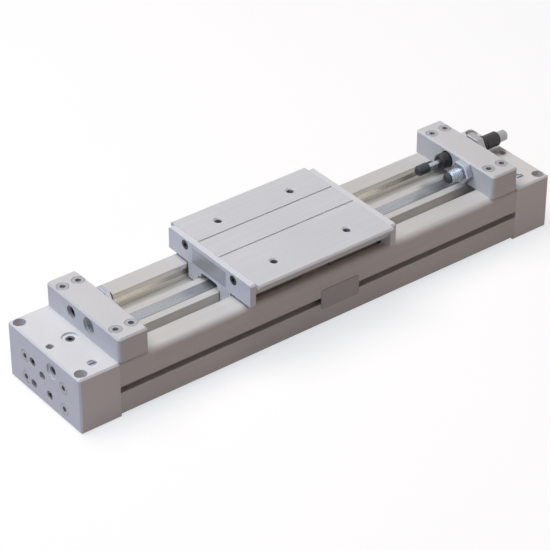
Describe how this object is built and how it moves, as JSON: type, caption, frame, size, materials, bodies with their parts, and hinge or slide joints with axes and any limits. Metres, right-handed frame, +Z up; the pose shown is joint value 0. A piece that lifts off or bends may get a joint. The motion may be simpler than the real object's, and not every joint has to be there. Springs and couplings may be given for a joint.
{
  "type": "rodless pneumatic cylinder",
  "caption": "Slotted-tube rodless air cylinder: a flat slide table runs on the rails of an extruded tube, between end covers and stop brackets with a shock absorber.",
  "frame": {"origin": "middle of the four mounting holes of the end covers, on the plane that the covers stand on", "axes": "+X along the stroke towards the end with the shock absorber, +Y across towards the shock absorber's side, +Z up through the table"},
  "size_m": [0.261, 0.064, 0.04],
  "materials": {
    "anodised_extrusion": "clear anodised, fine lengthwise extrusion lines",
    "anodised_cover": "clear anodised, satin",
    "anodised_bracket": "clear anodised, satin",
    "anodised_table": "clear anodised, satin milled",
    "anodised_plate": "clear anodised, satin",
    "turned_aluminium": "turned",
    "bright_steel": "zinc plated, bright",
    "ground_steel": "hardened and ground",
    "band_steel": "rolled stainless band",
    "black_steel": "black oxide",
    "black_plastic": "moulded, satin",
    "black_rubber": "matt",
    "dark_urethane": "satin",
    "belt_urethane": "smooth",
    "pale_resin": "machined resin",
    "magnet": "sintered"
  },
  "bodies": {
    "base": {"absorber_body": "black_steel", "absorber_cap": "black_plastic", "absorber_nut": "bright_steel", "absorber_spring": "bright_steel", "belt_clamp_left": "turned_aluminium", "belt_clamp_right": "turned_aluminium", "belt_clamp_screws": "bright_steel", "bracket_screws": "bright_steel", "cover_bolts_left": "bright_steel", "cover_bolts_right": "bright_steel", "cushion_boss_left": "turned_aluminium", "cushion_boss_right": "turned_aluminium", "cushion_needle_left": "bright_steel", "cushion_needle_right": "bright_steel", "cylinder_tube": "anodised_extrusion", "dust_band": "band_steel", "head_cover_left": "anodised_cover", "head_cover_right": "anodised_cover", "port_plugs_left": "bright_steel", "port_plugs_right": "bright_steel", "seal_belt": "belt_urethane", "stop_bolt_left": "black_steel", "stop_bolt_right": "bright_steel", "stop_bracket_left": "anodised_bracket", "stop_bracket_right": "anodised_bracket", "stop_bumper_left": "dark_urethane", "stop_nut_left": "bright_steel", "stop_nut_right": "bright_steel", "stop_tip_right": "dark_urethane", "tube_gasket_left": "black_rubber", "tube_gasket_right": "black_rubber"},
    "carriage": {"belt_separator_left": "pale_resin", "belt_separator_right": "pale_resin", "cushion_seal_left": "black_rubber", "cushion_seal_right": "black_rubber", "end_plate_left": "anodised_plate", "end_plate_right": "anodised_plate", "end_plate_screws": "black_steel", "magnet_left": "magnet", "magnet_right": "magnet", "piston_left": "turned_aluminium", "piston_right": "turned_aluminium", "piston_seal_left": "black_rubber", "piston_seal_right": "black_rubber", "piston_yoke": "turned_aluminium", "scraper_left": "black_rubber", "scraper_right": "black_rubber", "slide_bearing_far_left": "pale_resin", "slide_bearing_far_right": "pale_resin", "slide_bearing_near_left": "pale_resin", "slide_bearing_near_right": "pale_resin", "slide_table": "anodised_table", "strike_plate_left": "ground_steel", "strike_plate_right": "ground_steel", "wear_ring_left": "pale_resin", "wear_ring_right": "pale_resin", "yoke_pins": "bright_steel"},
    "absorber_plunger": {"absorber_rod": "bright_steel", "absorber_tip": "dark_urethane"}
  },
  "joints": [
    {"name": "carriage_slide", "type": "slide", "parent": "base", "child": "carriage", "axis": [1, 0, 0], "range_m": [-0.0453, 0.0413], "deforming": ["dust_band", "seal_belt"]},
    {"name": "absorber_slide", "type": "slide", "parent": "base", "child": "absorber_plunger", "axis": [1, 0, 0], "range_m": [0, 0.006], "stiffness_N_per_m": 377, "springref_m": -0.0052, "deforming": ["absorber_spring"]}
  ]
}
